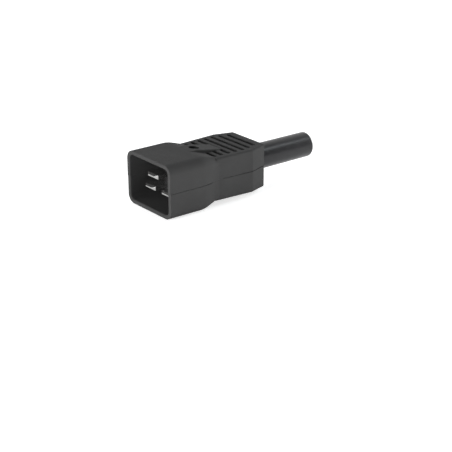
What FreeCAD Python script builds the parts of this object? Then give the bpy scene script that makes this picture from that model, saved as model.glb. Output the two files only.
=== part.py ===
import FreeCAD, Part
import math
import os

# Rewireable 16 A cord plug: two moulded half shells hold a contact carrier with three flat pins,
# a cord clamp and a bend-relief boot, and one screw and its nut close them.
# Millimetres. X runs back from the mouth of the shroud at X = 0 towards the cord, Y across, Z up.

# Clearances
MOULD_FIT = 0.1
METAL_FIT = 0.05
CORD_CLEAR = 0.5

# Shroud, the block that the mating connector enters
SHROUD_WIDTH = 34.2
SHROUD_HEIGHT = 26.2
SHROUD_CORNER = 4.4
SHROUD_WALL = 2.0
RECESS_DEPTH = 20.0
RIM_BEVEL = 0.25
LEAD_IN = 0.4
LOWER_SETBACK = 0.2

# S-shaped step from the shroud down into the grip; its corners get sharper on the way
STEP_LEAD = 1.0
STEP_LENGTH = 13.3
FOOT_SINK = 0.25
FOOT_CORNER = 2.5

# Grip: it widens from waist to hip, narrows to the tail, and gets a little higher all along
GRIP_LEAD = 3.7
WAIST_WIDTH = 29.1
HIP_WIDTH = 30.9
TAIL_WIDTH = 24.9
WAIST_TO_HIP = 21.1
HIP_TO_TAIL = 9.3
HIP_ROUND = 1.5
GRIP_HEIGHT = 21.1
TAIL_HEIGHT = 21.6
GRIP_EDGE = 1.0
GRIP_WALL = 2.0
GRIP_ROOF = 3.0

# Finger grooves across the grip
GROOVE_COUNT = 7
GROOVE_PITCH = 4.12
GROOVE_START = 1.3
GROOVE_WIDTH = 2.2
GROOVE_DEPTH = 2.0
GROOVE_MARGIN = 2.7
GROOVE_CORNER = 0.7

# Tongue with the screw hole: level with the shroud at first, then it falls to the grip
TONGUE_WIDTH = 10.0
TONGUE_DELAY = 1.4
TONGUE_LEVEL = 4.6
TONGUE_FALL = 13.5
TONGUE_SINK = 0.05
TONGUE_ROUND = 0.5

# Lap joint of the half shells along the sides, and the fine groove outside where they meet
LIP_WIDTH = 0.9
LIP_HEIGHT = 1.0
LIP_INSET = 2.0
SEAM = 0.15

# Flat pins: the earth pin in the upper row, line and neutral in the lower one
PIN_WIDTH = 8.0
PIN_THICKNESS = 2.0
PIN_SPACING = 13.0
PIN_ROWS = 8.0
EARTH_TIP = 1.8
LINE_TIP = 4.7
POINT_LENGTH = 1.1
POINT_WIDTH = 5.0
POINT_THICKNESS = 0.6

# Contact carrier: a plate that closes the recess, and a shelf between the rows of terminals
PLATE_THICKNESS = 1.7
SHELF_THICKNESS = 2.0
SHELF_WIDTH = 22.4
SHELF_LENGTH = 11.5
GUSSET_HEIGHT = 6.0
GUSSET_LENGTH = 7.0
GUSSET_WIDTH = 1.2

# Housing screw and nut
SCREW_RADIUS = 1.5
SCREW_HOLE_RADIUS = 1.65
HEAD_RADIUS = 2.5
HEAD_HEIGHT = 2.0
HEAD_BORE_RADIUS = 2.7
BOSS_WALL = 1.05
BOSS_FLOOR = 1.0
NUT_FLATS = 5.5
NUT_THICKNESS = 2.4
NUT_INSET = 1.0
NUT_FLOOR = 1.4
SCREW_EXTRA = 0.5

# Terminals: brass blocks that take the tail of a pin in front and a wire behind
BLOCK_LENGTH = 8.5
BLOCK_WIDTH = 6.0
BLOCK_HEIGHT = 5.2
TAIL_STRIP = 4.0
TAIL_INSERT = 3.4
WIRE_OPENING = 3.2
WIRE_FLOOR = 0.9
WIRE_WEB = 0.8
CLAMPING_RADIUS = 1.5
CLAMPING_PROUD = 0.9
GUARD_THICKNESS = 0.4
GUARD_DROP = 0.3
GUARD_TAB = 1.4
EARTH_EYE_WALL = 1.6
STOP_RIB = 1.5
STOP_REACH = 1.6

# Cord clamp: a bridge-shaped bar on two screws over a saddle
CORD_RADIUS = 4.4
CLAMP_GAP = 2.2
CLAMP_LENGTH = 4.6
CLAMP_BRIDGE = 1.6
CLAMP_EAR = 3.0
CLAMP_SPLIT = 1.4
CLAMP_SCREW_SPACING = 17.6
CLAMP_SCREW_RADIUS = 1.45
CLAMP_SCREW_HEAD = 2.6
CLAMP_SCREW_LENGTH = 8.0
CLAMP_END = 2.8

# Bend-relief boot, held by a flange in a groove of the shells
BOOT_LENGTH = 38.0
BOOT_RADIUS = 6.35
BOOT_END_BEVEL = 0.9
BOOT_BORE = 4.6
FLANGE_RADIUS = 7.6
FLANGE_THICKNESS = 2.4
REAR_WALL = 2.0
SEAT_WEB = 1.2

# Places that follow from the sizes
STEP_START = RECESS_DEPTH - STEP_LEAD
STEP_END = STEP_START + STEP_LENGTH
GRIP_START = STEP_END - GRIP_LEAD
HIP_X = GRIP_START + WAIST_TO_HIP
BODY_END = HIP_X + HIP_TO_TAIL
PLATE_REAR = RECESS_DEPTH + PLATE_THICKNESS
CHAMBER_START = PLATE_REAR + MOULD_FIT
CHAMBER_HALF = GRIP_HEIGHT / 2 - GRIP_ROOF
FLANGE_REAR = BODY_END - REAR_WALL
FLANGE_FRONT = FLANGE_REAR - FLANGE_THICKNESS
CHAMBER_END = FLANGE_FRONT - SEAT_WEB
SHELF_HALF = SHELF_THICKNESS / 2
PIN_Z = PIN_ROWS / 2
HEAD_SEAT = PIN_Z + PIN_THICKNESS / 2 + 2 * MOULD_FIT + BOSS_FLOOR
NUT_SEAT = CHAMBER_HALF - NUT_INSET
BOSS_RADIUS = SCREW_HOLE_RADIUS + BOSS_WALL
NUT_BOSS_RADIUS = NUT_FLATS / math.sqrt(3) + MOULD_FIT + BOSS_WALL
SCREW_X = CHAMBER_START + NUT_BOSS_RADIUS + 2 * MOULD_FIT
BLOCK_BASE = SHELF_HALF + MOULD_FIT
BLOCK_TOP = BLOCK_BASE + BLOCK_HEIGHT
WIRE_BASE = BLOCK_BASE + WIRE_FLOOR
WIRE_TOP = WIRE_BASE + WIRE_OPENING
GUARD_TOP = WIRE_TOP - GUARD_DROP
WIRE_FRONT = TAIL_INSERT + WIRE_WEB
CLAMPING_X = (WIRE_FRONT + BLOCK_LENGTH) / 2
LINE_BLOCK_Y = NUT_BOSS_RADIUS + 4 * MOULD_FIT + BLOCK_WIDTH / 2
LINE_BLOCK_X = PLATE_REAR + 2 * MOULD_FIT
EYE_RADIUS = BOSS_RADIUS + 2 * MOULD_FIT
EARTH_BLOCK_X = SCREW_X + EYE_RADIUS + EARTH_EYE_WALL + 2 * MOULD_FIT
CLAMP_REAR = CHAMBER_END - CLAMP_GAP
CLAMP_X = CLAMP_REAR - CLAMP_LENGTH / 2

TINY = 0.001
BEYOND = 1.0

V = FreeCAD.Vector
ORIGIN = V(0, 0, 0)
AXIS_X = V(1, 0, 0)
AXIS_Z = V(0, 0, 1)


def rounded_outline(points, radii):
    """Closed wire through the points, with each corner rounded to its radius."""
    corners = []
    for index, corner in enumerate(points):
        to_last = (points[index - 1] - corner).normalize()
        to_next = (points[(index + 1) % len(points)] - corner).normalize()
        half_angle = to_last.getAngle(to_next) / 2
        radius = radii[index]
        inward = (to_last + to_next).normalize()
        start = corner + to_last * (radius / math.tan(half_angle))
        end = corner + to_next * (radius / math.tan(half_angle))
        middle = corner + inward * (radius / math.sin(half_angle) - radius)
        corners.append((start, middle, end, radius))
    edges = []
    for index, (start, middle, end, radius) in enumerate(corners):
        if radius > 0:
            edges.append(Part.Arc(start, middle, end).toShape())
        following = corners[(index + 1) % len(corners)][0]
        if end.distanceToPoint(following) > TINY:
            edges.append(Part.LineSegment(end, following).toShape())
    return Part.Wire(edges)


def prism(points, sweep, radii=None):
    """Solid swept straight from a closed outline, whose corners are sharp unless radii are given."""
    return Part.Face(rounded_outline(points, radii or [0] * len(points))).extrude(sweep)


def box(x0, x1, y0, y1, z0, z1):
    """Block between two corners."""
    return Part.makeBox(x1 - x0, y1 - y0, z1 - z0, V(x0, y0, z0))


def section(x, width, height, corner):
    """Rounded rectangle across the plug at X, as a wire."""
    w = width / 2
    h = height / 2
    points = [V(x, w, h), V(x, -w, h), V(x, -w, -h), V(x, w, -h)]
    return rounded_outline(points, [corner] * 4)


def both_sides(stations, halves):
    """Pairs of a half outline and of its mirror image across the plug's axis."""
    pairs = list(zip(stations, halves))
    return pairs + [(x, -half) for x, half in reversed(pairs)]


def plan_prism(stations, halves, z0, z1, radii=()):
    """Solid with a plan that is the same on both sides of the axis."""
    points = [V(x, y, z0) for x, y in both_sides(stations, halves)]
    return prism(points, V(0, 0, z1 - z0), list(radii) + list(reversed(radii)))


def side_prism(stations, halves, width):
    """Solid with a side profile that is the same above and below the axis."""
    points = [V(x, -width / 2, z) for x, z in both_sides(stations, halves)]
    return prism(points, V(0, width, 0))


def upright(radius, x, y, z0, z1):
    """Cylinder standing along Z."""
    return Part.makeCylinder(radius, z1 - z0, V(x, y, z0))


def lengthwise(radius, x0, x1, z=0):
    """Cylinder lying along X."""
    return Part.makeCylinder(radius, x1 - x0, V(x0, 0, z), AXIS_X)


def between(first, last, share):
    """Value at a share of the way from the first to the last."""
    return first + (last - first) * share


def grip_half_width(x):
    """Half width of the grip in plan at X."""
    if x < HIP_X:
        return between(WAIST_WIDTH, HIP_WIDTH, (x - GRIP_START) / WAIST_TO_HIP) / 2
    return between(HIP_WIDTH, TAIL_WIDTH, (x - HIP_X) / HIP_TO_TAIL) / 2


def grip_half_height(x):
    """Half height of the grip at X."""
    return between(GRIP_HEIGHT, TAIL_HEIGHT, (x - GRIP_START) / (BODY_END - GRIP_START)) / 2


def curved_face(rows, weights):
    """Smooth face drawn by rows of control points, each row with the same weights."""
    surface = Part.BezierSurface()
    surface.increase(len(weights) - 1, len(rows) - 1)
    for v, row in enumerate(rows):
        for u, point in enumerate(row):
            surface.setPole(u + 1, v + 1, point, weights[u])
    return surface.toShape()


def step_size(drop):
    """Half width, half height and corner radius of the step at a share of its drop."""
    half_width = between(SHROUD_WIDTH / 2, grip_half_width(STEP_END) - FOOT_SINK, drop)
    half_height = between(SHROUD_HEIGHT / 2, grip_half_height(STEP_END) - FOOT_SINK, drop)
    return half_width, half_height, between(SHROUD_CORNER, FOOT_CORNER, drop)


def step_corner(x, drop, across, up):
    """Control points of one round corner of the step."""
    half_width, half_height, radius = step_size(drop)
    tip = V(x, across * half_width, up * half_height)
    beside = tip - V(0, 0, up * radius)
    above = tip - V(0, across * radius, 0)
    return [beside, tip, above] if across == up else [above, tip, beside]


def step():
    """Step with S-shaped sides, level at both ends, and round corners."""
    drops = (0, 0, 1, 1)
    lanes = []
    for across, up in ((1, 1), (-1, 1), (-1, -1), (1, -1)):
        rows = []
        for index, drop in enumerate(drops):
            x = between(STEP_START, STEP_END, index / (len(drops) - 1))
            rows.append(step_corner(x, drop, across, up))
        lanes.append(rows)
    faces = []
    for index, rows in enumerate(lanes):
        following = lanes[(index + 1) % len(lanes)]
        faces.append(curved_face(rows, [1, math.sqrt(0.5), 1]))
        flat = [[row[-1], next_row[0]] for row, next_row in zip(rows, following)]
        faces.append(curved_face(flat, [1, 1]))
    for x, drop in ((STEP_START, 0), (STEP_END, 1)):
        half_width, half_height, radius = step_size(drop)
        faces.append(Part.Face(section(x, 2 * half_width, 2 * half_height, radius)))
    skin = Part.makeShell(faces)
    skin.sewShape()
    return Part.makeSolid(skin)


def nose(front):
    """Shroud block with a bevelled rim, and the step behind it."""
    block = Part.Face(section(front, SHROUD_WIDTH, SHROUD_HEIGHT, SHROUD_CORNER))
    block = block.extrude(V(STEP_START - front, 0, 0))
    rim = [edge for edge in block.Edges if edge.BoundBox.XMax < front + TINY]
    return block.makeChamfer(RIM_BEVEL, rim).fuse(step())


def grip():
    """Grip body, where a plan and a side profile cross, with its long edges rounded."""
    stations = [GRIP_START, HIP_X, BODY_END]
    widths = [grip_half_width(x) for x in stations]
    plan = plan_prism(stations, widths, -SHROUD_HEIGHT, SHROUD_HEIGHT, [0, HIP_ROUND, 0])
    ends = [GRIP_START, BODY_END]
    heights = [grip_half_height(x) for x in ends]
    body = plan.common(side_prism(ends, heights, 2 * SHROUD_WIDTH))
    long_edges = [edge for edge in body.Edges if edge.BoundBox.XLength > TINY]
    return body.makeFillet(GRIP_EDGE, long_edges)


def seam():
    """Cutter for the fine groove along the parting plane, round the sides and the rear."""
    stations = [-BEYOND, STEP_START, STEP_END, HIP_X, BODY_END - SEAM]
    widths = [SHROUD_WIDTH / 2] * 2 + [grip_half_width(x) for x in stations[2:]]
    core_widths = [width - SEAM for width in widths]
    core = plan_prism(stations, core_widths, -SEAM, SEAM)
    reach = BODY_END + BEYOND
    return box(-BEYOND, reach, -SHROUD_WIDTH, SHROUD_WIDTH, -SEAM, SEAM).cut(core)


def groove(x):
    """Cutter for one finger groove with its corners cut off."""
    length = grip_half_width(x + GROOVE_PITCH / 2) - GROOVE_MARGIN
    width = GROOVE_WIDTH / 2
    floor = grip_half_height(x) - GROOVE_DEPTH
    stations = [x - width, x - width + GROOVE_CORNER, x + width - GROOVE_CORNER, x + width]
    halves = [length - GROOVE_CORNER, length, length, length - GROOVE_CORNER]
    return plan_prism(stations, halves, floor, floor + 2 * GROOVE_DEPTH)


def tongue():
    """Block from the top of the shroud that falls to the grip, its long edges rounded."""
    high = SHROUD_HEIGHT / 2 - TONGUE_SINK
    start = STEP_START + TONGUE_DELAY
    bend = start + TONGUE_LEVEL
    end = bend + TONGUE_FALL
    low = grip_half_height(end)
    slope = (high - low) / TONGUE_FALL
    base = low - GROOVE_DEPTH - (GRIP_ROOF - GROOVE_DEPTH) / 2
    y = -TONGUE_WIDTH / 2
    points = [
        V(start, y, high),
        V(bend, y, high),
        V(end + BEYOND, y, low - slope * BEYOND),
        V(end + BEYOND, y, base),
        V(start, y, base),
    ]
    wedge = prism(points, V(0, TONGUE_WIDTH, 0))
    crests = [
        edge for edge in wedge.Edges
        if edge.BoundBox.XLength > TINY and edge.BoundBox.ZMin > base + TINY
    ]
    return wedge.makeFillet(TONGUE_ROUND, crests)


def half_form(front):
    """Solid outer form of one half, above the parting plane."""
    form = nose(front).fuse(grip())
    reach = BODY_END + BEYOND
    form = form.common(box(-BEYOND, reach, -SHROUD_WIDTH, SHROUD_WIDTH, 0, SHROUD_HEIGHT))
    first = GRIP_START + GROOVE_START
    form = form.cut([groove(first + index * GROOVE_PITCH) for index in range(GROOVE_COUNT)])
    return form.fuse(tongue()).cut(seam())


def hollows(front):
    """Cutters for the recess with its lead-in, the wiring chamber and the seat of the boot."""
    width = SHROUD_WIDTH - 2 * SHROUD_WALL
    height = SHROUD_HEIGHT - 2 * SHROUD_WALL
    corner = SHROUD_CORNER - SHROUD_WALL
    recess = Part.Face(section(-BEYOND, width, height, corner))
    recess = recess.extrude(V(CHAMBER_START + BEYOND, 0, 0))
    mouth = section(front, width + 2 * LEAD_IN, height + 2 * LEAD_IN, corner + LEAD_IN)
    lead_in = Part.makeLoft([mouth, section(front + LEAD_IN, width, height, corner)], True, True)
    stations = [CHAMBER_START - BEYOND, HIP_X, CHAMBER_END]
    widths = [grip_half_width(max(x, GRIP_START)) - GRIP_WALL for x in stations]
    chamber = plan_prism(stations, widths, -CHAMBER_HALF, CHAMBER_HALF)
    window = lengthwise(BOOT_BORE + CORD_CLEAR, CHAMBER_END - BEYOND, FLANGE_FRONT + BEYOND)
    groove_ring = lengthwise(FLANGE_RADIUS + MOULD_FIT, FLANGE_FRONT - MOULD_FIT, FLANGE_REAR)
    neck = lengthwise(BOOT_RADIUS + MOULD_FIT, FLANGE_REAR - BEYOND, BODY_END + BEYOND)
    return [recess, lead_in, chamber, window, groove_ring, neck]


def lip(grow):
    """Strips of the lap joint on both side walls, grown by a clearance."""
    x0 = CHAMBER_START + LIP_INSET - grow
    x1 = CHAMBER_END - LIP_INSET + grow
    stations = [max(x0, GRIP_START), HIP_X, x1]
    inner = [grip_half_width(x) - GRIP_WALL - grow for x in stations]
    outer = [grip_half_width(x) - GRIP_WALL + LIP_WIDTH + grow for x in stations]
    strips = []
    for side in (1, -1):
        points = [V(x, side * y, -LIP_HEIGHT) for x, y in zip(stations, inner)]
        points += [V(x, side * y, -LIP_HEIGHT) for x, y in reversed(list(zip(stations, outer)))]
        strips.append(prism(points, V(0, 0, 2 * LIP_HEIGHT + grow)))
    return strips


def upper_shell():
    """Upper half: the screw's spigot goes through the eye of the earth pin and the carrier's shelf."""
    roof = CHAMBER_HALF + GRIP_ROOF / 2
    shell = half_form(0).cut(hollows(0) + lip(MOULD_FIT))
    side = HEAD_BORE_RADIUS + BOSS_WALL
    boss = box(SCREW_X - side, SCREW_X + side, -side, side, HEAD_SEAT - BOSS_FLOOR, roof)
    spigot = upright(BOSS_RADIUS, SCREW_X, 0, MOULD_FIT - SHELF_HALF, roof)
    rib_x = EARTH_BLOCK_X + BLOCK_LENGTH + GUARD_THICKNESS + 2 * MOULD_FIT
    half = BLOCK_WIDTH / 2
    stop = box(rib_x, rib_x + STOP_RIB, -half, half, BLOCK_TOP - STOP_REACH, roof)
    shell = shell.fuse([boss, spigot, stop])
    hole = upright(SCREW_HOLE_RADIUS, SCREW_X, 0, -SHELF_THICKNESS, SHROUD_HEIGHT)
    head_bore = upright(HEAD_BORE_RADIUS, SCREW_X, 0, HEAD_SEAT, SHROUD_HEIGHT)
    return shell.cut([hole, head_bore]).removeSplitter()


def hexagon(flats, x, z0, z1):
    """Upright hexagonal prism on the screw's axis, given across its flats."""
    radius = flats / math.sqrt(3)
    angles = [math.radians(60 * index) for index in range(6)]
    points = [V(x + radius * math.cos(a), radius * math.sin(a), z0) for a in angles]
    return prism(points, V(0, 0, z1 - z0))


def lower_shell():
    """Lower half: nut pocket, stop ribs behind the terminals, and saddle of the cord clamp."""
    floor = -(CHAMBER_HALF + GRIP_ROOF / 2)
    form = half_form(LOWER_SETBACK).mirror(ORIGIN, AXIS_Z)
    shell = form.cut(hollows(LOWER_SETBACK)).fuse(lip(0))
    boss = hexagon(NUT_BOSS_RADIUS * math.sqrt(3), SCREW_X, floor, NUT_FLOOR - NUT_SEAT)
    neck = upright(BOSS_RADIUS, SCREW_X, 0, floor, -SHELF_HALF - METAL_FIT)
    inside = [boss, neck]
    rib_x = LINE_BLOCK_X + BLOCK_LENGTH + GUARD_THICKNESS + 2 * MOULD_FIT
    half = BLOCK_WIDTH / 2
    for side in (1, -1):
        y = side * LINE_BLOCK_Y
        inside.append(box(rib_x, rib_x + STOP_RIB, y - half, y + half, floor, STOP_REACH - BLOCK_TOP))
    top = -CLAMP_SPLIT
    saddle_half = CLAMP_SCREW_SPACING / 2 + CLAMP_END
    x0 = CLAMP_X - CLAMP_LENGTH / 2
    inside.append(box(x0, CLAMP_REAR, -saddle_half, saddle_half, floor, top))
    cuts = [lengthwise(CORD_RADIUS, x0 - BEYOND, CLAMP_REAR + BEYOND)]
    for side in (1, -1):
        y = side * CLAMP_SCREW_SPACING / 2
        depth = CLAMP_SCREW_LENGTH - CLAMP_EAR + MOULD_FIT
        cuts.append(upright(CLAMP_SCREW_RADIUS + METAL_FIT, CLAMP_X, y, top - depth, BEYOND))
    cuts.append(upright(SCREW_HOLE_RADIUS, SCREW_X, 0, -SHROUD_HEIGHT, 0))
    cuts.append(hexagon(NUT_FLATS + 2 * MOULD_FIT, SCREW_X, -SHROUD_HEIGHT, -NUT_SEAT))
    return shell.fuse(inside).cut(cuts).removeSplitter()


def contact_carrier():
    """Plate across the recess with three slots, and the shelf with its gussets behind it."""
    width = SHROUD_WIDTH - 2 * SHROUD_WALL - 2 * MOULD_FIT
    height = SHROUD_HEIGHT - 2 * SHROUD_WALL - 2 * MOULD_FIT
    corner = SHROUD_CORNER - SHROUD_WALL
    plate = Part.Face(section(RECESS_DEPTH, width, height, corner))
    plate = plate.extrude(V(PLATE_THICKNESS, 0, 0))
    half = SHELF_WIDTH / 2
    shelf_end = PLATE_REAR + SHELF_LENGTH
    shelf = box(PLATE_REAR - BEYOND, shelf_end, -half, half, -SHELF_HALF, SHELF_HALF)
    gussets = []
    for side in (1, -1):
        y = side * (half - GUSSET_WIDTH) - GUSSET_WIDTH / 2
        points = [
            V(PLATE_REAR - BEYOND, y, 0),
            V(PLATE_REAR + GUSSET_LENGTH, y, 0),
            V(PLATE_REAR, y, SHELF_HALF + GUSSET_HEIGHT),
            V(PLATE_REAR - BEYOND, y, SHELF_HALF + GUSSET_HEIGHT),
        ]
        gussets.append(prism(points, V(0, GUSSET_WIDTH, 0)))
    carrier = plate.fuse([shelf] + gussets)
    slots = []
    for y, z in ((0, PIN_Z), (PIN_SPACING / 2, -PIN_Z), (-PIN_SPACING / 2, -PIN_Z)):
        half_width = PIN_WIDTH / 2 + METAL_FIT
        half_height = PIN_THICKNESS / 2 + METAL_FIT
        slots.append(box(
            RECESS_DEPTH - BEYOND, PLATE_REAR + BEYOND,
            y - half_width, y + half_width, z - half_height, z + half_height,
        ))
    eye = upright(BOSS_RADIUS + MOULD_FIT, SCREW_X, 0, -SHELF_THICKNESS, SHELF_THICKNESS)
    return carrier.cut(slots + [eye]).removeSplitter()


def blade(tip, rear):
    """Flat pin on the axis with a point that narrows on all four faces."""
    stations = [tip, tip + POINT_LENGTH, rear]
    widths = [POINT_WIDTH / 2, PIN_WIDTH / 2, PIN_WIDTH / 2]
    heights = [POINT_THICKNESS / 2, PIN_THICKNESS / 2, PIN_THICKNESS / 2]
    plan = plan_prism(stations, widths, -PIN_THICKNESS, PIN_THICKNESS)
    return plan.common(side_prism(stations, heights, 2 * PIN_WIDTH))


def strip(x0, x1, y):
    """Flat tail of a pin, as wide as the slot of its terminal takes."""
    half = TAIL_STRIP / 2
    return box(x0, x1, y - half, y + half, -PIN_THICKNESS / 2, PIN_THICKNESS / 2)


def earth_pin():
    """Earth pin: an eye in its blade clears the boss of the housing screw."""
    blade_end = SCREW_X + EYE_RADIUS + EARTH_EYE_WALL
    tail = strip(blade_end - BEYOND, EARTH_BLOCK_X + TAIL_INSERT, 0)
    pin = blade(EARTH_TIP, blade_end).fuse(tail)
    pin = pin.cut(upright(EYE_RADIUS, SCREW_X, 0, -PIN_THICKNESS, PIN_THICKNESS))
    return pin.removeSplitter().translated(V(0, 0, PIN_Z))


def line_pin(side):
    """Line or neutral pin: its tail stands further out, clear of the nut's boss."""
    tail_y = side * (LINE_BLOCK_Y - PIN_SPACING / 2)
    tail = strip(PLATE_REAR - BEYOND, LINE_BLOCK_X + TAIL_INSERT, tail_y)
    pin = blade(LINE_TIP, PLATE_REAR).fuse(tail).removeSplitter()
    return pin.translated(V(0, side * PIN_SPACING / 2, -PIN_Z))


def terminal_block():
    """Terminal block with its front face at X = 0 and its clamping screw's face on top."""
    half = BLOCK_WIDTH / 2
    block = box(0, BLOCK_LENGTH, -half, half, BLOCK_BASE, BLOCK_TOP)
    slot_half = TAIL_STRIP / 2 + METAL_FIT
    low = PIN_Z - PIN_THICKNESS / 2 - METAL_FIT
    high = PIN_Z + PIN_THICKNESS / 2 + METAL_FIT
    slot = box(-BEYOND, TAIL_INSERT + METAL_FIT, -slot_half, slot_half, low, high)
    wire_half = WIRE_OPENING / 2
    wire = box(WIRE_FRONT, BLOCK_LENGTH + BEYOND, -wire_half, wire_half, WIRE_BASE, WIRE_TOP)
    tapped = upright(CLAMPING_RADIUS + METAL_FIT, CLAMPING_X, 0, WIRE_BASE, BLOCK_TOP + BEYOND)
    return block.cut([slot, wire, tapped])


def terminal_screw():
    """Headless clamping screw of a terminal, standing on the wire guard."""
    return upright(CLAMPING_RADIUS, CLAMPING_X, 0, GUARD_TOP + METAL_FIT, BLOCK_TOP + CLAMPING_PROUD)


def wire_guard():
    """Bent leaf between the clamping screw and the wire, hooked over the rear of the block."""
    low = GUARD_TOP - GUARD_THICKNESS
    front = WIRE_FRONT + METAL_FIT
    rear = BLOCK_LENGTH + METAL_FIT
    half = WIRE_OPENING / 2 - MOULD_FIT
    points = [
        V(front, -half, low),
        V(rear + GUARD_THICKNESS, -half, low),
        V(rear + GUARD_THICKNESS, -half, GUARD_TOP + GUARD_TAB),
        V(rear, -half, GUARD_TOP + GUARD_TAB),
        V(rear, -half, GUARD_TOP),
        V(front, -half, GUARD_TOP),
    ]
    return prism(points, V(0, 2 * half, 0))


def at_earth(shape):
    """Copy of a terminal piece in its place behind the earth pin."""
    return shape.translated(V(EARTH_BLOCK_X, 0, 0))


def at_line(shape, side):
    """Copy of a terminal piece turned over behind the line or neutral pin."""
    turned = shape.rotated(ORIGIN, AXIS_X, 180)
    return turned.translated(V(LINE_BLOCK_X, side * LINE_BLOCK_Y, 0))


def housing_screw():
    """Screw that closes the housing, head down in its bore."""
    low = -(NUT_SEAT + NUT_THICKNESS + SCREW_EXTRA)
    shank = upright(SCREW_RADIUS, SCREW_X, 0, low, HEAD_SEAT + METAL_FIT)
    head = upright(HEAD_RADIUS, SCREW_X, 0, HEAD_SEAT, HEAD_SEAT + HEAD_HEIGHT)
    return shank.fuse(head).removeSplitter()


def housing_nut():
    """Hexagon nut in the pocket of the lower shell."""
    nut = hexagon(NUT_FLATS, SCREW_X, -NUT_SEAT - NUT_THICKNESS, -NUT_SEAT)
    return nut.cut(upright(SCREW_RADIUS + METAL_FIT, SCREW_X, 0, -SHROUD_HEIGHT, 0))


def cord_clamp_bar():
    """Bridge over the cord with an ear for a screw on each side."""
    low = METAL_FIT - CLAMP_SPLIT
    ear_top = low + CLAMP_EAR
    half_width = CLAMP_SCREW_SPACING / 2 + CLAMP_END
    x0 = CLAMP_X - CLAMP_LENGTH / 2
    ears = box(x0, CLAMP_REAR, -half_width, half_width, low, ear_top)
    reach = CORD_RADIUS + CLAMP_BRIDGE
    bridge = box(x0, CLAMP_REAR, -reach, reach, low, reach)
    cuts = [lengthwise(CORD_RADIUS, x0 - BEYOND, CLAMP_REAR + BEYOND)]
    for side in (1, -1):
        y = side * CLAMP_SCREW_SPACING / 2
        cuts.append(upright(CLAMP_SCREW_RADIUS + MOULD_FIT, CLAMP_X, y, low - BEYOND, ear_top + BEYOND))
    return ears.fuse(bridge).cut(cuts).removeSplitter()


def cord_clamp_screw(side):
    """One of the two screws that hold the clamp bar on its saddle."""
    y = side * CLAMP_SCREW_SPACING / 2
    seat = METAL_FIT - CLAMP_SPLIT + CLAMP_EAR
    shank = upright(CLAMP_SCREW_RADIUS, CLAMP_X, y, seat - CLAMP_SCREW_LENGTH, seat + METAL_FIT)
    head = upright(CLAMP_SCREW_HEAD, CLAMP_X, y, seat, seat + HEAD_HEIGHT)
    return shank.fuse(head).removeSplitter()


def bend_relief_boot():
    """Soft sleeve round the cord, turned about the axis, with its flange in front and a bevelled end."""
    end = BODY_END + BOOT_LENGTH
    points = [
        V(FLANGE_FRONT, 0, BOOT_BORE),
        V(end, 0, BOOT_BORE),
        V(end, 0, BOOT_RADIUS - BOOT_END_BEVEL),
        V(end - BOOT_END_BEVEL, 0, BOOT_RADIUS),
        V(FLANGE_REAR - MOULD_FIT, 0, BOOT_RADIUS),
        V(FLANGE_REAR - MOULD_FIT, 0, FLANGE_RADIUS),
        V(FLANGE_FRONT, 0, FLANGE_RADIUS),
    ]
    face = Part.Face(rounded_outline(points, [0] * len(points)))
    return face.revolve(ORIGIN, AXIS_X, 360)


PIECES = {
    "upper_shell": upper_shell(),
    "lower_shell": lower_shell(),
    "contact_carrier": contact_carrier(),
    "earth_pin": earth_pin(),
    "earth_terminal": at_earth(terminal_block()),
    "earth_terminal_screw": at_earth(terminal_screw()),
    "earth_wire_guard": at_earth(wire_guard()),
    "housing_screw": housing_screw(),
    "housing_nut": housing_nut(),
    "cord_clamp_bar": cord_clamp_bar(),
    "bend_relief_boot": bend_relief_boot(),
}
for name, side in (("line", 1), ("neutral", -1)):
    PIECES[name + "_pin"] = line_pin(side)
    PIECES[name + "_terminal"] = at_line(terminal_block(), side)
    PIECES[name + "_terminal_screw"] = at_line(terminal_screw(), side)
    PIECES[name + "_wire_guard"] = at_line(wire_guard(), side)
for name, side in (("left", 1), ("right", -1)):
    PIECES["cord_clamp_screw_" + name] = cord_clamp_screw(side)

os.makedirs("parts", exist_ok=True)
for name, shape in PIECES.items():
    shape.exportStep("parts/" + name + ".step")
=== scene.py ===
import math

import bmesh
import bpy
from mathutils import Matrix, Vector


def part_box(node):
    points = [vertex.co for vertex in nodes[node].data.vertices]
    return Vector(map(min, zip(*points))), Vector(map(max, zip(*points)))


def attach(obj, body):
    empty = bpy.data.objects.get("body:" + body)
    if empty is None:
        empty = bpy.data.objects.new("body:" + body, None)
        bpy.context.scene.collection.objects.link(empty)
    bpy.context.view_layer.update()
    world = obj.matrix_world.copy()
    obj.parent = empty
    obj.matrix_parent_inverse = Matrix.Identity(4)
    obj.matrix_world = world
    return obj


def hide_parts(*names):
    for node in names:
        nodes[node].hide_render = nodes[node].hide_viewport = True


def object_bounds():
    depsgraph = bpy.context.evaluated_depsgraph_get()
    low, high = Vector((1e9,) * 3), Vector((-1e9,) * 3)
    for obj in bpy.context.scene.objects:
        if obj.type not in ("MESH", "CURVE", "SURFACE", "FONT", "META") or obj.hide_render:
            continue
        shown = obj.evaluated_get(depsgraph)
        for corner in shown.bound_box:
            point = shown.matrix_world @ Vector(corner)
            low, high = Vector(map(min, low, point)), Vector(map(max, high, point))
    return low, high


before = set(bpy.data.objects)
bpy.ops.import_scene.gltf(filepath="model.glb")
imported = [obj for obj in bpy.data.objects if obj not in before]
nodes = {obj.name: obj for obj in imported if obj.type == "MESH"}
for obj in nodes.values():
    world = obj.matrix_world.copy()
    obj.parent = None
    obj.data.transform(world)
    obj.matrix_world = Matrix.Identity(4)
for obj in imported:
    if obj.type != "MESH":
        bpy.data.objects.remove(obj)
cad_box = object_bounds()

MM = 0.001
WHITE = (1, 1, 1, 1)

scene = bpy.context.scene


# Helpers for materials

def linear(code):
    """sRGB hex code as the linear colour that a shader takes."""
    channels = [int(code[i:i + 2], 16) / 255 for i in (1, 3, 5)]
    return (*(c / 12.92 if c <= 0.04045 else ((c + 0.055) / 1.055) ** 2.4 for c in channels), 1)


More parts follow.
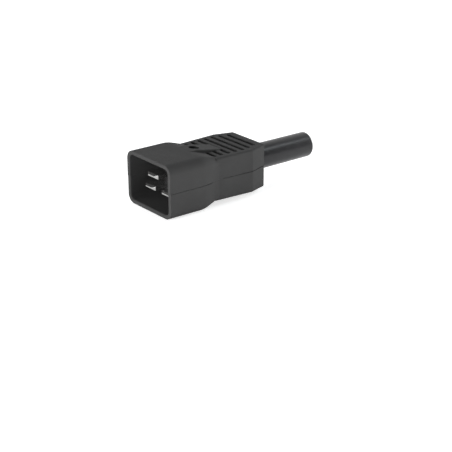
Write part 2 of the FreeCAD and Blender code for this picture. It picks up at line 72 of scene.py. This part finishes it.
def per_mm(size):
    """Texture scale whose pattern is about this many millimetres across."""
    return 1 / (size * MM)


def add(tree, kind, inputs=None, **settings):
    """Adds a node; a socket or a list of sockets given as input is linked, any other input is a value."""
    node = tree.nodes.new(kind)
    for name, value in settings.items():
        setattr(node, name, value)
    for key, value in (inputs or {}).items():
        for source in value if isinstance(value, list) else [value]:
            if isinstance(source, bpy.types.NodeSocket):
                tree.links.new(source, node.inputs[key])
            else:
                node.inputs[key].default_value = source
    return node


def new_material(name):
    """Empty node material and its tree."""
    material = bpy.data.materials.new(name)
    material.use_nodes = True
    material.node_tree.nodes.clear()
    return material, material.node_tree


def finish_material(tree, shader):
    """Sends a shader to the material's output."""
    add(tree, "ShaderNodeOutputMaterial", {"Surface": shader.outputs[0]})


def seen_ray(tree):
    """One for a ray from the eye, straight or by way of a gloss or a clear piece, and nought for lighting."""
    path = add(tree, "ShaderNodeLightPath").outputs
    direct = add(tree, "ShaderNodeMath", {
        0: path["Is Camera Ray"], 1: path["Is Glossy Ray"],
    }, operation="MAXIMUM")
    return add(tree, "ShaderNodeMath", {
        0: direct.outputs[0], 1: path["Is Transmission Ray"],
    }, operation="MAXIMUM").outputs[0]


# Plastics and metals; sizes of patterns are in millimetres

BEVEL_SAMPLES = 6
PLASTIC_IOR = 1.53
FLOW_MARK = 14
GRAIN_GLOSS = 0.06
# Band and reach of the painted shade along the seam at Z = 0, in millimetres
PARTING_SHADE_CLEAR = 0.28
PARTING_SHADE_FULL = 0.1
PARTING_SHADE_STARTS = 34
PARTING_SHADE_DEEPEST = 54
TARNISH_PATCH = 4
LINE_STRETCH = 0.06
LINE_DEPTH = 0.02
LINE_GLOSS = 0.07


def moulded_plastic(name, dark, light, edge, grain, depth, rough, specular, edge_radius, parting_shade_colour=None):
    """Moulded plastic: soft edges, a fine eroded grain, faint flow marks and rubbed edges.

    A seam colour, if given, is painted shade: the colour darkens in a thin band at Z = 0, where the two
    halves meet, and darkens more towards the cord, as if the line opened a little there.
    """
    material, tree = new_material(name)
    place = add(tree, "ShaderNodeTexCoord").outputs["Object"]
    flow = add(tree, "ShaderNodeTexNoise", {"Vector": place, "Scale": per_mm(FLOW_MARK), "Detail": 3.0})
    speck = add(tree, "ShaderNodeTexNoise", {"Vector": place, "Scale": per_mm(grain), "Detail": 4.0})
    tone = add(tree, "ShaderNodeMapRange", {
        "Value": flow.outputs[0], "From Min": 0.35, "From Max": 0.65,
    })
    body = add(tree, "ShaderNodeMix", {
        0: tone.outputs[0], 6: linear(dark), 7: linear(light),
    }, data_type="RGBA")
    soft = add(tree, "ShaderNodeBevel", {"Radius": edge_radius * MM}, samples=BEVEL_SAMPLES)
    flat = add(tree, "ShaderNodeNewGeometry")
    along = add(tree, "ShaderNodeVectorMath", {
        0: soft.outputs[0], 1: flat.outputs["Normal"],
    }, operation="DOT_PRODUCT")
    rubbed = add(tree, "ShaderNodeMapRange", {
        "Value": along.outputs["Value"], "From Min": 0.995, "From Max": 0.9, "To Max": 0.6,
    })
    colour = add(tree, "ShaderNodeMix", {
        0: rubbed.outputs[0], 6: body.outputs[2], 7: linear(edge),
    }, data_type="RGBA")
    # Painted shade: darker in a thin band at Z = 0 where the halves meet, and darker towards the cord
    if parting_shade_colour:
        spot = add(tree, "ShaderNodeSeparateXYZ", {0: place}).outputs
        height = add(tree, "ShaderNodeMath", {0: spot["Z"]}, operation="ABSOLUTE")
        line = add(tree, "ShaderNodeMapRange", {
            "Value": height.outputs[0], "From Min": PARTING_SHADE_CLEAR * MM, "From Max": PARTING_SHADE_FULL * MM,
        })
        deeper_shade_towards_cord = add(tree, "ShaderNodeMapRange", {
            "Value": spot["X"], "From Min": PARTING_SHADE_STARTS * MM, "From Max": PARTING_SHADE_DEEPEST * MM,
            "To Max": 0.9,
        })
        shade = add(tree, "ShaderNodeMath", {
            0: line.outputs[0], 1: deeper_shade_towards_cord.outputs[0],
        }, operation="MULTIPLY")
        colour = add(tree, "ShaderNodeMix", {
            0: shade.outputs[0], 6: colour.outputs[2], 7: linear(parting_shade_colour),
        }, data_type="RGBA")
    roughness = add(tree, "ShaderNodeMapRange", {
        "Value": speck.outputs[0], "From Min": 0.3, "From Max": 0.7,
        "To Min": rough - GRAIN_GLOSS, "To Max": rough + GRAIN_GLOSS,
    })
    bump = add(tree, "ShaderNodeBump", {
        "Height": speck.outputs[0], "Normal": soft.outputs[0], "Strength": 0.5, "Distance": depth * MM,
    })
    finish_material(tree, add(tree, "ShaderNodeBsdfPrincipled", {
        "Base Color": colour.outputs[2], "Roughness": roughness.outputs[0], "Normal": bump.outputs[0],
        "IOR": PLASTIC_IOR, "Specular IOR Level": specular,
    }))
    return material


def worked_metal(name, code, stain, streak, rough, edge_radius, metallic=1.0):
    """Metal with fine lines along the part's length, patches of tarnish and softened edges."""
    material, tree = new_material(name)
    place = add(tree, "ShaderNodeTexCoord").outputs["Object"]
    drawn = add(tree, "ShaderNodeMapping", {"Vector": place, "Scale": (LINE_STRETCH, 1, 1)})
    lines = add(tree, "ShaderNodeTexNoise", {
        "Vector": drawn.outputs[0], "Scale": per_mm(streak), "Detail": 3.0,
    })
    patches = add(tree, "ShaderNodeTexNoise", {
        "Vector": place, "Scale": per_mm(TARNISH_PATCH), "Detail": 4.0,
    })
    tarnish = add(tree, "ShaderNodeMapRange", {
        "Value": patches.outputs[0], "From Min": 0.45, "From Max": 0.75, "To Max": 0.5,
    })
    colour = add(tree, "ShaderNodeMix", {
        0: tarnish.outputs[0], 6: linear(code), 7: linear(stain),
    }, data_type="RGBA")
    roughness = add(tree, "ShaderNodeMapRange", {
        "Value": lines.outputs[0], "From Min": 0.3, "From Max": 0.7,
        "To Min": rough - LINE_GLOSS, "To Max": rough + LINE_GLOSS,
    })
    soft = add(tree, "ShaderNodeBevel", {"Radius": edge_radius * MM}, samples=BEVEL_SAMPLES)
    bump = add(tree, "ShaderNodeBump", {
        "Height": lines.outputs[0], "Normal": soft.outputs[0], "Strength": 0.25,
        "Distance": LINE_DEPTH * MM,
    })
    finish_material(tree, add(tree, "ShaderNodeBsdfPrincipled", {
        "Base Color": colour.outputs[2], "Metallic": metallic, "Roughness": roughness.outputs[0],
        "Normal": bump.outputs[0],
    }))
    return material


# Glass-filled nylon from a spark-eroded mould: matt charcoal, no clear reflections.
# The grain of all three plastics is about 0.1 mm, too fine to show, so it is drawn coarser
# Its seam colour is painted shade along the line where the two halves meet
NYLON = moulded_plastic(
    "moulded_nylon", "#3e3e3e", "#424242", "#4d4d4d",
    grain=0.9, depth=0.03, rough=0.72, specular=0.06, edge_radius=0.25, parting_shade_colour="#161616",
)
# Thermoset of the carrier and the clamp bar: about as dark as the housing, and a little smoother
THERMOSET = moulded_plastic(
    "moulded_thermoset", "#424243", "#474748", "#4f4f50",
    grain=0.7, depth=0.02, rough=0.5, specular=0.3, edge_radius=0.2,
)
# Flexible vinyl of the boot: satin black, so a long soft highlight runs down its side
VINYL = moulded_plastic(
    "flexible_vinyl", "#202022", "#242426", "#29292b",
    grain=1.2, depth=0.004, rough=0.345, specular=0.3, edge_radius=0,
)
# Nickel plate on drawn brass: pale and bright with fine lines along the pin, and dulled a little by use.
# The lines of all four metals are hair-fine and too fine to show, so they are drawn coarser
NICKEL = worked_metal(
    "nickel_plate", "#a5a5a4", "#868685", streak=0.35, rough=0.18, edge_radius=0.12, metallic=0.87,
)
# Brass cut from bar: warm yellow with saw and drawing lines
BRASS = worked_metal(
    "drawn_brass", "#c9a85e", "#a07f3e", streak=0.4, rough=0.36, edge_radius=0.15,
)
# Spring steel of the wire guards: grey and a little darker than the screws
SPRING_STEEL = worked_metal(
    "rolled_spring_steel", "#9d9e9f", "#77787a", streak=0.3, rough=0.36, edge_radius=0.06,
)
# Zinc plate on steel screws: cold grey with a soft sheen
ZINC = worked_metal(
    "zinc_plated_steel", "#b4b6b8", "#8d9092", streak=0.25, rough=0.36, edge_radius=0.08,
)

NODE_FINISHES = {
    "upper_shell": NYLON,
    "lower_shell": NYLON,
    "contact_carrier": THERMOSET,
    "cord_clamp_bar": THERMOSET,
    "earth_pin": NICKEL,
    "line_pin": NICKEL,
    "neutral_pin": NICKEL,
    "earth_terminal": BRASS,
    "line_terminal": BRASS,
    "neutral_terminal": BRASS,
    "earth_wire_guard": SPRING_STEEL,
    "line_wire_guard": SPRING_STEEL,
    "neutral_wire_guard": SPRING_STEEL,
}
for name, material in NODE_FINISHES.items():
    mesh = nodes[name].data
    mesh.materials.clear()
    mesh.materials.append(material)


# Helpers for the pieces that stand for CAD nodes

SHARP_EDGE = math.radians(35)


def new_piece(name, mesh, material):
    """Object of the part with one material, smooth but for its sharp edges."""
    mesh.materials.clear()
    mesh.materials.append(material)
    mesh.shade_smooth()
    mesh.set_sharp_from_angle(angle=SHARP_EDGE)
    piece = bpy.data.objects.new(name, mesh)
    scene.collection.objects.link(piece)
    return piece


def stand_for(piece, node):
    """The piece rides on the part in place of a CAD node."""
    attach(piece, "root")
    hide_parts(node)


def turned(profile_at, segments, place):
    """Closed mesh turned about an axis; the profile at an angle is a ring of (height, radius) points."""
    form = bmesh.new()
    rings = []
    for index in range(segments):
        angle = 2 * math.pi * index / segments
        points = [place(h, r * math.cos(angle), r * math.sin(angle)) for h, r in profile_at(angle)]
        rings.append([form.verts.new(point) for point in points])
    count = len(rings[0])
    for ring, following in zip(rings, rings[1:] + rings[:1]):
        for i in range(count):
            j = (i + 1) % count
            form.faces.new((ring[i], ring[j], following[j], following[i]))
    bmesh.ops.recalc_face_normals(form, faces=form.faces)
    mesh = bpy.data.meshes.new("turned")
    form.to_mesh(mesh)
    form.free()
    return mesh


def quarter(centre, radius, start, steps):
    """Points of a quarter turn in a profile, clockwise from the start angle in degrees."""
    height, middle = centre
    angles = [math.radians(start - 90 * i / steps) for i in range(steps + 1)]
    return [(height + radius * math.cos(a), middle + radius * math.sin(a)) for a in angles]


# Bend-relief boot

BOOT_SEGMENTS = 128


def boot_profile():
    """Section of the boot: flange, sleeve with a slight taper, and a full round at its end."""
    low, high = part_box("bend_relief_boot")
    flange = high.z
    bore = 4.6 * MM
    sleeve = 6.37 * MM
    tip = 6.27 * MM
    thickness = 2.3 * MM
    round_end = 1.35 * MM
    lip = 0.4 * MM
    edge = 0.3 * MM
    profile = [(low.x, bore)]
    profile += quarter((low.x + edge, flange - edge), edge, 180, 4)
    profile += quarter((low.x + thickness - edge, flange - edge), edge, 90, 4)
    profile += [(low.x + thickness, sleeve)]
    profile += quarter((high.x - round_end, tip - round_end), round_end, 90, 12)
    profile += quarter((high.x - lip, bore + lip), lip, 0, 4)
    return profile


boot_section = boot_profile()
boot_mesh = turned(lambda angle: boot_section, BOOT_SEGMENTS, lambda h, a, b: (h, a, b))
stand_for(new_piece("boot", boot_mesh, VINYL), "bend_relief_boot")


# Housing nut

NUT_SEGMENTS = 72
nut_low, nut_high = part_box("housing_nut")


def nut_profile(angle):
    """Section of the nut at an angle: flats with corners chamfered to a circle at both ends."""
    flat = 2.75 * MM
    bore = 1.56 * MM
    edge = 0.2 * MM
    outside = flat / math.cos((angle + math.pi / 6) % (math.pi / 3) - math.pi / 6)
    inside = 0.96 * flat
    slope = math.tan(math.radians(30)) * (outside - inside)
    low, high = nut_low.z, nut_high.z
    return [
        (low + edge, bore), (low, bore + edge), (low, inside), (low + slope, outside),
        (high - slope, outside), (high, inside), (high, bore + edge), (high - edge, bore),
    ]


nut_x = (nut_low.x + nut_high.x) / 2
nut_mesh = turned(nut_profile, NUT_SEGMENTS, lambda h, a, b: (nut_x + a, b, h))
stand_for(new_piece("nut", nut_mesh, ZINC), "housing_nut")


# Screws; sizes are in millimetres, in the order of the inputs

SHANK_SIDES = 40
HEAD_SIDES = 64
HEAD_RINGS = 10
DOME_INWARD = 0.16
DOME_POWER = 6.0
SCREW_INPUTS = (
    "Shank Radius", "Shank Length", "Thread Depth", "Pitch", "Head Radius", "Head Height",
    "Drive Length", "Drive Width", "Drive Depth",
)
HOUSING_SCREW = (1.5, 15.65, 0.22, 0.5, 2.5, 2.0, 2.6, 0.7, 1.1)
CLAMP_SCREW = (1.45, 8.0, 0.26, 0.9, 2.6, 2.0, 2.6, 0.7, 1.1)
TERMINAL_SCREW = (1.5, 1.25, 0.22, 0.5, 1.5, 1.0, 1.7, 0.5, 0.7)
HEAD_UP, HEAD_DOWN = False, True
SCREWS = {
    "housing_screw": (HOUSING_SCREW, HEAD_UP),
    "cord_clamp_screw_left": (CLAMP_SCREW, HEAD_UP),
    "cord_clamp_screw_right": (CLAMP_SCREW, HEAD_UP),
    "earth_terminal_screw": (TERMINAL_SCREW, HEAD_UP),
    "line_terminal_screw": (TERMINAL_SCREW, HEAD_DOWN),
    "neutral_terminal_screw": (TERMINAL_SCREW, HEAD_DOWN),
}


def screw_tree():
    """Geometry Nodes tree of a screw: threaded shank below Z = 0, domed head with a cross recess above."""
    tree = bpy.data.node_groups.new("screw", "GeometryNodeTree")
    for name in SCREW_INPUTS:
        tree.interface.new_socket(name, in_out="INPUT", socket_type="NodeSocketFloat")
    tree.interface.new_socket("Material", in_out="INPUT", socket_type="NodeSocketMaterial")
    tree.interface.new_socket("Screw", in_out="OUTPUT", socket_type="NodeSocketGeometry")
    given = add(tree, "NodeGroupInput").outputs
    depth = given["Thread Depth"]
    length = given["Shank Length"]
    height = given["Head Height"]

    # Core of the shank
    core_radius = add(tree, "ShaderNodeMath", {0: given["Shank Radius"], 1: depth}, operation="SUBTRACT")
    core_middle = add(tree, "ShaderNodeMath", {0: length, 1: -0.5}, operation="MULTIPLY")
    core_place = add(tree, "ShaderNodeCombineXYZ", {"Z": core_middle.outputs[0]})
    core = add(tree, "GeometryNodeMeshCylinder", {
        "Vertices": SHANK_SIDES, "Radius": core_radius.outputs[0], "Depth": length,
    })
    core = add(tree, "GeometryNodeTransform", {
        "Geometry": core.outputs["Mesh"], "Translation": core_place.outputs[0],
    })

    # Thread that winds round the core
    thread_height = add(tree, "ShaderNodeMath", {0: depth, 1: -2.0, 2: length}, operation="MULTIPLY_ADD")
    turns = add(tree, "ShaderNodeMath", {
        0: thread_height.outputs[0], 1: given["Pitch"],
    }, operation="DIVIDE")
    thread_low = add(tree, "ShaderNodeMath", {0: depth, 1: length}, operation="SUBTRACT")
    thread_place = add(tree, "ShaderNodeCombineXYZ", {"Z": thread_low.outputs[0]})
    helix = add(tree, "GeometryNodeCurveSpiral", {
        "Resolution": SHANK_SIDES, "Rotations": turns.outputs[0], "Height": thread_height.outputs[0],
        "Start Radius": core_radius.outputs[0], "End Radius": core_radius.outputs[0],
    })
    ridge = add(tree, "GeometryNodeCurvePrimitiveCircle", {"Resolution": 4, "Radius": depth})
    steady = add(tree, "GeometryNodeSetCurveNormal", {"Curve": helix.outputs[0]}, mode="Z_UP")
    thread = add(tree, "GeometryNodeCurveToMesh", {
        "Curve": steady.outputs[0], "Profile Curve": ridge.outputs[0], "Fill Caps": True,
    })
    thread = add(tree, "GeometryNodeTransform", {
        "Geometry": thread.outputs[0], "Translation": thread_place.outputs[0],
    })

    # Head, drawn in towards its top
    head_middle = add(tree, "ShaderNodeMath", {0: height, 1: 0.5}, operation="MULTIPLY")
    head_place = add(tree, "ShaderNodeCombineXYZ", {"Z": head_middle.outputs[0]})
    head = add(tree, "GeometryNodeMeshCylinder", {
        "Vertices": HEAD_SIDES, "Side Segments": HEAD_RINGS, "Radius": given["Head Radius"], "Depth": height,
    })
    head = add(tree, "GeometryNodeTransform", {
        "Geometry": head.outputs["Mesh"], "Translation": head_place.outputs[0],
    })
    spot = add(tree, "GeometryNodeInputPosition").outputs[0]
    parts = add(tree, "ShaderNodeSeparateXYZ", {0: spot})
    share = add(tree, "ShaderNodeMath", {0: parts.outputs["Z"], 1: height}, operation="DIVIDE")
    curl = add(tree, "ShaderNodeMath", {0: share.outputs[0], 1: DOME_POWER}, operation="POWER")
    inward = add(tree, "ShaderNodeVectorMath", {
        0: spot, 1: (-DOME_INWARD, -DOME_INWARD, 0),
    }, operation="MULTIPLY")
    inward = add(tree, "ShaderNodeVectorMath", {
        0: inward.outputs[0], "Scale": curl.outputs[0],
    }, operation="SCALE")
    head = add(tree, "GeometryNodeSetPosition", {"Geometry": head.outputs[0], "Offset": inward.outputs[0]})

    # Cross recess
    reach = add(tree, "ShaderNodeMath", {0: given["Drive Depth"], 1: 2.0}, operation="MULTIPLY")
    top = add(tree, "ShaderNodeCombineXYZ", {"Z": height})
    arms = []
    for long_side, short_side in (("X", "Y"), ("Y", "X")):
        size = add(tree, "ShaderNodeCombineXYZ", {
            long_side: given["Drive Length"], short_side: given["Drive Width"], "Z": reach.outputs[0],
        })
        arm = add(tree, "GeometryNodeMeshCube", {"Size": size.outputs[0]})
        arm = add(tree, "GeometryNodeTransform", {
            "Geometry": arm.outputs["Mesh"], "Translation": top.outputs[0],
        })
        arms.append(arm.outputs[0])
    head = add(tree, "GeometryNodeMeshBoolean", {
        "Mesh 1": head.outputs[0], "Mesh 2": arms,
    }, operation="DIFFERENCE", solver="EXACT")

    whole = add(tree, "GeometryNodeJoinGeometry", {
        "Geometry": [core.outputs[0], thread.outputs[0], head.outputs["Mesh"]],
    })
    real = add(tree, "GeometryNodeRealizeInstances", {"Geometry": whole.outputs[0]})
    dressed = add(tree, "GeometryNodeSetMaterial", {
        "Geometry": real.outputs[0], "Material": given["Material"],
    })
    add(tree, "NodeGroupOutput", {"Screw": dressed.outputs[0]})
    return tree


def screw_mesh(tree, sizes):
    """Plain mesh of a screw from its sizes in millimetres."""
    holder = bpy.data.objects.new("screw_holder", bpy.data.meshes.new("screw_holder"))
    scene.collection.objects.link(holder)
    maker = holder.modifiers.new("screw", "NODES")
    maker.node_group = tree
    for socket in tree.interface.items_tree:
        if socket.in_out == "INPUT":
            maker[socket.identifier] = ZINC if socket.name == "Material" else sizes[socket.name] * MM
    graph = bpy.context.evaluated_depsgraph_get()
    mesh = bpy.data.meshes.new_from_object(holder.evaluated_get(graph))
    holder.modifiers.remove(maker)
    bpy.data.objects.remove(holder)
    return mesh


tree = screw_tree()
for node, (values, upside_down) in SCREWS.items():
    sizes = dict(zip(SCREW_INPUTS, values))
    mesh = screw_mesh(tree, sizes)
    low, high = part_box(node)
    seat = (low + high) / 2
    if upside_down:
        seat.z = low.z + sizes["Head Height"] * MM
        mesh.transform(Matrix.Rotation(math.pi, 4, "X"))
    else:
        seat.z = high.z - sizes["Head Height"] * MM
    mesh.transform(Matrix.Translation(seat))
    stand_for(new_piece(node + "_threaded", mesh, ZINC), node)


# Studio; places and sizes are in metres, and power in watts

FLOOR_REACH = 6.0
FLOOR_GAP = 0.05 * MM
FLOOR_GLOW = 0.72
ROOM_LIGHT = 0.35
FLAG_HALF_WIDTH = 1.8
FLAG_HALF_DEPTH = 1.26
FLAG_TILT = math.radians(41.5)
COOL_WHITE = (0.91, 0.965, 1.0)

aim = (cad_box[0] + cad_box[1]) / 2
floor_z = cad_box[0].z - FLOOR_GAP


def staged_sheet(name, half_width, half_depth, place, material):
    """Flat sheet that belongs to the studio and not to the object."""
    mesh = bpy.data.meshes.new(name)
    corners = [(x * half_width, y * half_depth, 0) for x, y in ((-1, -1), (1, -1), (1, 1), (-1, 1))]
    mesh.from_pydata(corners, [], [(0, 1, 2, 3)])
    mesh.materials.append(material)
    sheet = bpy.data.objects.new(name, mesh)
    sheet.location = place
    scene.collection.objects.link(sheet)
    return sheet


def softbox(name, place, size, power, target=aim, colour=(1, 1, 1)):
    """Rectangular soft light that faces a target."""
    lamp = bpy.data.lights.new(name, "AREA")
    lamp.shape = "RECTANGLE"
    lamp.size, lamp.size_y = size
    lamp.energy = power
    lamp.color = colour
    holder = bpy.data.objects.new(name, lamp)
    holder.location = place
    holder.rotation_euler = (target - Vector(place)).to_track_quat("-Z", "Y").to_euler()
    scene.collection.objects.link(holder)
    return holder


# Pale studio floor: it glows enough to be white, and only the object's contact shadow shows on it
FLOOR, floor_tree = new_material("studio_floor")
diffuse = add(floor_tree, "ShaderNodeBsdfDiffuse", {"Color": linear("#e6e6e6")})
glow = add(floor_tree, "ShaderNodeEmission", {"Color": WHITE, "Strength": FLOOR_GLOW})
both = add(floor_tree, "ShaderNodeAddShader", {0: diffuse.outputs[0], 1: glow.outputs[0]})
shown = add(floor_tree, "ShaderNodeMixShader", {
    0: seen_ray(floor_tree), 1: diffuse.outputs[0], 2: both.outputs[0],
})
finish_material(floor_tree, shown)
staged_sheet("floor", FLOOR_REACH, FLOOR_REACH, (0, 0, floor_z), FLOOR)

# White room: a soft even light on the object, and plain white to the eye
world = bpy.data.worlds.new("studio")
scene.world = world
world.use_nodes = True
air = world.node_tree
air.nodes.clear()
strength = add(air, "ShaderNodeMapRange", {"Value": seen_ray(air), "To Min": ROOM_LIGHT, "To Max": 1.0})
sky = add(air, "ShaderNodeBackground", {"Color": WHITE, "Strength": strength.outputs[0]})
add(air, "ShaderNodeOutputWorld", {"Surface": sky.outputs[0]})

softbox("left_softbox", (-0.78, -0.05, 0.10), (0.6, 0.4), 10.0)
softbox("right_softbox", (0.90, -0.10, 0.10), (0.4, 0.4), 6.2)
softbox("low_softbox", (0.15, -0.82, 0.05), (0.8, 0.1), 1.2)
softbox("back_softbox", (0.25, 0.60, 0.55), (0.4, 0.4), 2.1)
softbox("top_softbox", (0.48, -0.24, 0.52), (0.26, 0.16), 0.85, colour=COOL_WHITE)

# Light panel on the floor in front: it lights the near side from below, as a white table does
panel_place = Vector((0.05, -0.145, floor_z + 0.2 * MM))
panel = softbox("floor_panel", panel_place, (0.6, 0.25), 0.57, target=panel_place + Vector((0, 0, 1)))
panel.visible_camera = False
panel.visible_glossy = False

# Black felt flag over the camera: it keeps the room in front out of the reflections, as in a dark studio
FELT, felt_tree = new_material("black_felt")
finish_material(felt_tree, add(felt_tree, "ShaderNodeBsdfDiffuse", {"Color": linear("#141414")}))
flag_place = aim + Vector((0, -0.795, 0.899))
flag = staged_sheet("flag", FLAG_HALF_WIDTH, FLAG_HALF_DEPTH, flag_place, FELT)
flag.rotation_euler = (FLAG_TILT, 0, 0)
flag.visible_camera = False

# Camera at the photograph's viewing angle
eye = bpy.data.cameras.new("camera")
eye.sensor_width = 36
eye.lens = 98.38
camera = bpy.data.objects.new("camera", eye)
across = Vector((0.78445, -0.62019, 0))
upward = Vector((0.23443, 0.29652, 0.92580))
camera.matrix_world = Matrix((across, upward, across.cross(upward))).transposed().to_4x4()
camera.location = (-0.30297, -0.44094, 0.19753)
scene.collection.objects.link(camera)
scene.camera = camera
scene.view_settings.view_transform = "Standard"
